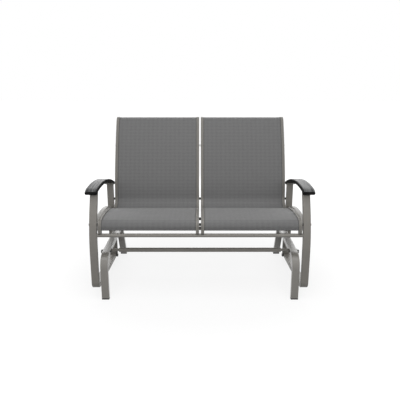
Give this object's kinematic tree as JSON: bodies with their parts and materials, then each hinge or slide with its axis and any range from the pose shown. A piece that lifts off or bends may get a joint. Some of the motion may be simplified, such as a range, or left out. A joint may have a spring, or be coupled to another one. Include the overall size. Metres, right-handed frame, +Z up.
{
  "type": "glider bench",
  "caption": "Patio glider bench with two stretched slings on a bent steel frame, curved armrests, and a seat that swings on four hanger links.",
  "frame": {"origin": "on the floor, at the centre of the bench's box in X and Y", "axes": "+X across the bench to the right as seen from the front, +Y from front to back, +Z up"},
  "size_m": [1.27, 0.8612, 0.9418],
  "materials": {
    "frame": "satin powder coat",
    "armrest": "smooth moulded",
    "sling": "woven mesh",
    "black_plastic": "moulded",
    "bolt_steel": "zinc plated",
    "pivot_steel": "black oxide",
    "link_steel": "satin powder coat",
    "bushing": "natural nylon"
  },
  "bodies": {
    "base": {"base_frame_left": "frame", "base_frame_right": "frame", "base_front_stretcher": "frame", "base_rear_stretcher": "frame", "stretcher_bolts": "bolt_steel", "foot_glides": "black_plastic", "upper_pivot_bolts": "pivot_steel", "upper_pivot_nuts": "pivot_steel", "upper_spacers": "pivot_steel"},
    "front_left_link": {"link_front_left": "link_steel", "bushings_front_left": "bushing"},
    "front_right_link": {"link_front_right": "link_steel", "bushings_front_right": "bushing"},
    "rear_left_link": {"link_rear_left": "link_steel", "bushings_rear_left": "bushing"},
    "rear_right_link": {"link_rear_right": "link_steel", "bushings_rear_right": "bushing"},
    "seat": {"seat_frame_left": "frame", "seat_frame_right": "frame", "rear_post_left": "frame", "rear_post_right": "frame", "side_rail_left": "frame", "side_rail_right": "frame", "lower_rail_plugs": "black_plastic", "lower_pivot_bolts": "pivot_steel", "lower_pivot_nuts": "pivot_steel", "lower_spacers": "pivot_steel", "armrest_left": "armrest", "armrest_right": "armrest", "arm_tabs": "frame", "arm_screws": "bolt_steel", "front_crossbar": "frame", "sling_rail_outer_left": "frame", "sling_rail_inner_left": "frame", "sling_rail_inner_right": "frame", "sling_rail_outer_right": "frame", "rail_end_caps": "black_plastic", "splines": "black_plastic", "sling_left": "sling", "sling_right": "sling", "seat_spreaders": "frame", "lumbar_spreaders": "frame", "back_spreaders": "frame", "post_spacers": "black_plastic", "centre_spacers": "black_plastic", "post_bolts": "bolt_steel", "centre_studs": "bolt_steel", "rail_nuts": "bolt_steel", "spreader_screws": "bolt_steel"}
  },
  "joints": [
    {"name": "front_left_link_swing", "type": "hinge", "parent": "base", "child": "front_left_link", "pos_m": [-0.5648, -0.31762, 0.2485], "axis": [1, 0, 0], "range_deg": [-18, 18]},
    {"name": "front_right_link_swing", "type": "hinge", "parent": "base", "child": "front_right_link", "pos_m": [0.5648, -0.31762, 0.2485], "axis": [1, 0, 0], "range_deg": [-18, 18]},
    {"name": "rear_left_link_swing", "type": "hinge", "parent": "base", "child": "rear_left_link", "pos_m": [-0.5648, 0.17551, 0.21408], "axis": [1, 0, 0], "range_deg": [-18, 18]},
    {"name": "rear_right_link_swing", "type": "hinge", "parent": "base", "child": "rear_right_link", "pos_m": [0.5648, 0.17551, 0.21408], "axis": [1, 0, 0], "range_deg": [-18, 18]},
    {"name": "seat_level", "type": "hinge", "parent": "front_left_link", "child": "seat", "pos_m": [-0.5648, -0.31762, 0.0655], "axis": [1, 0, 0], "range_deg": [-18, 18]}
  ],
  "couplings": [
    {"joint": "front_right_link_swing", "follows": "front_left_link_swing", "ratio": 1},
    {"joint": "rear_left_link_swing", "follows": "front_left_link_swing", "ratio": 1},
    {"joint": "rear_right_link_swing", "follows": "front_left_link_swing", "ratio": 1},
    {"joint": "seat_level", "follows": "front_left_link_swing", "ratio": -1}
  ]
}
